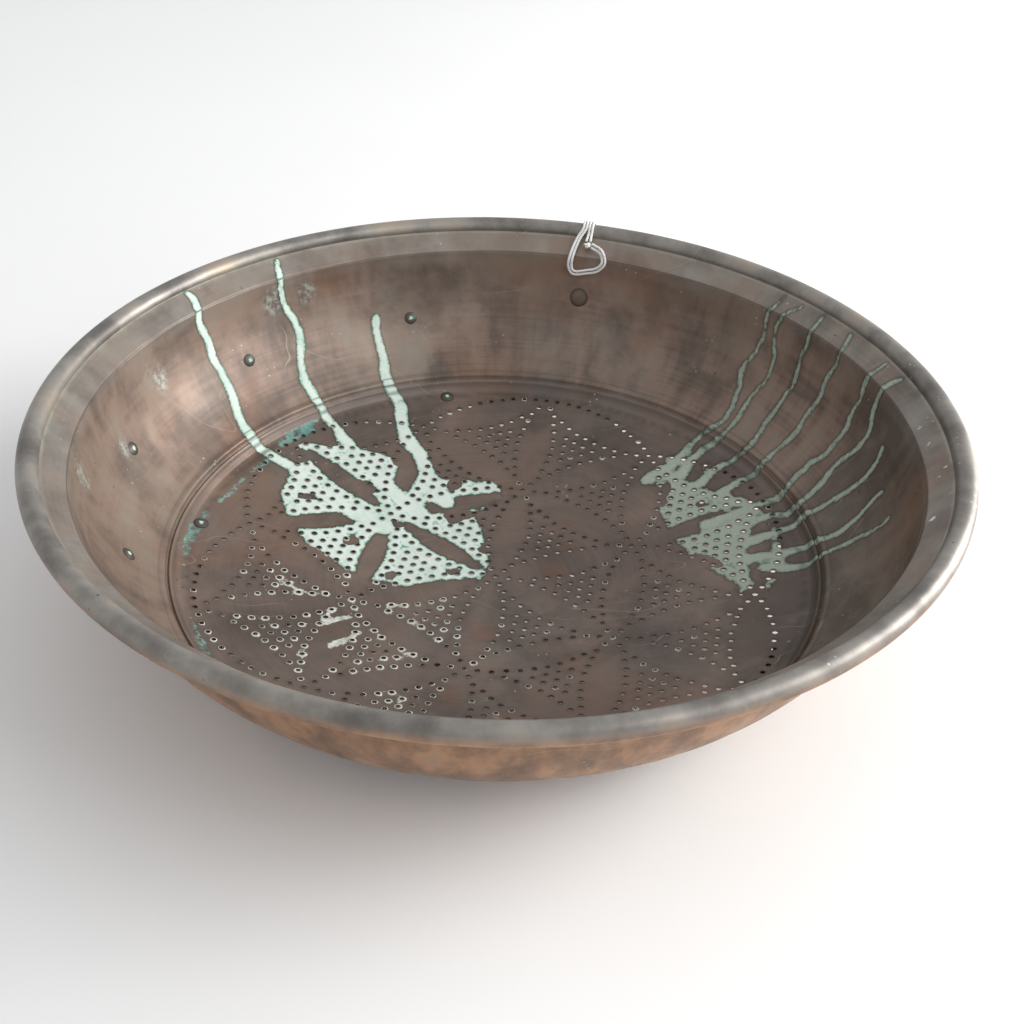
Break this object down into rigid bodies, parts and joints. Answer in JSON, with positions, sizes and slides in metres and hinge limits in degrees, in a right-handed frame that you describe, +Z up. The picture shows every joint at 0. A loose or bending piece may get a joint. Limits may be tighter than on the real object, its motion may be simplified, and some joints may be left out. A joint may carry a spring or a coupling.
{
  "type": "copper straining bowl",
  "caption": "Large hammered copper bowl with a pierced, dished floor, a wired rim, a hanging ring on the outside and a cotton string loop over the rim.",
  "frame": {"origin": "on the bowl's axis, at the underside of the floor's flat middle", "axes": "+Z up along the bowl's axis, +Y towards the side that carries the hanging ring"},
  "size_m": [0.56, 0.56, 0.1359],
  "materials": {
    "wall": "aged copper, brown patina, semi-gloss",
    "floor": "dark aged copper with verdigris, satin",
    "iron": "dark oxidised wire",
    "rivets": "dark copper rivets, satin",
    "hanger": "dark copper strap, satin",
    "ring": "dark forged iron, rough",
    "string": "twisted white cotton"
  },
  "bodies": {
    "bowl": {"bowl_wall": "wall", "floor_plate": "floor", "rim_wire": "iron", "hanger_rivet": "rivets", "hanger_strap": "hanger", "wall_rivet_1": "rivets", "wall_rivet_2": "rivets", "wall_rivet_3": "rivets", "wall_rivet_4": "rivets", "floor_rivet_1": "rivets", "floor_rivet_2": "rivets", "string_lap_1": "string", "string_lap_2": "string", "string_knot": "string"},
    "ring": {"hanging_ring": "ring"}
  },
  "joints": [
    {"name": "hanging_ring_swing", "type": "hinge", "parent": "bowl", "child": "ring", "pos_m": [0.0583, 0.2447, 0.06981], "axis": [0.9728, -0.2317, 0], "range_deg": [-38, 135]}
  ]
}
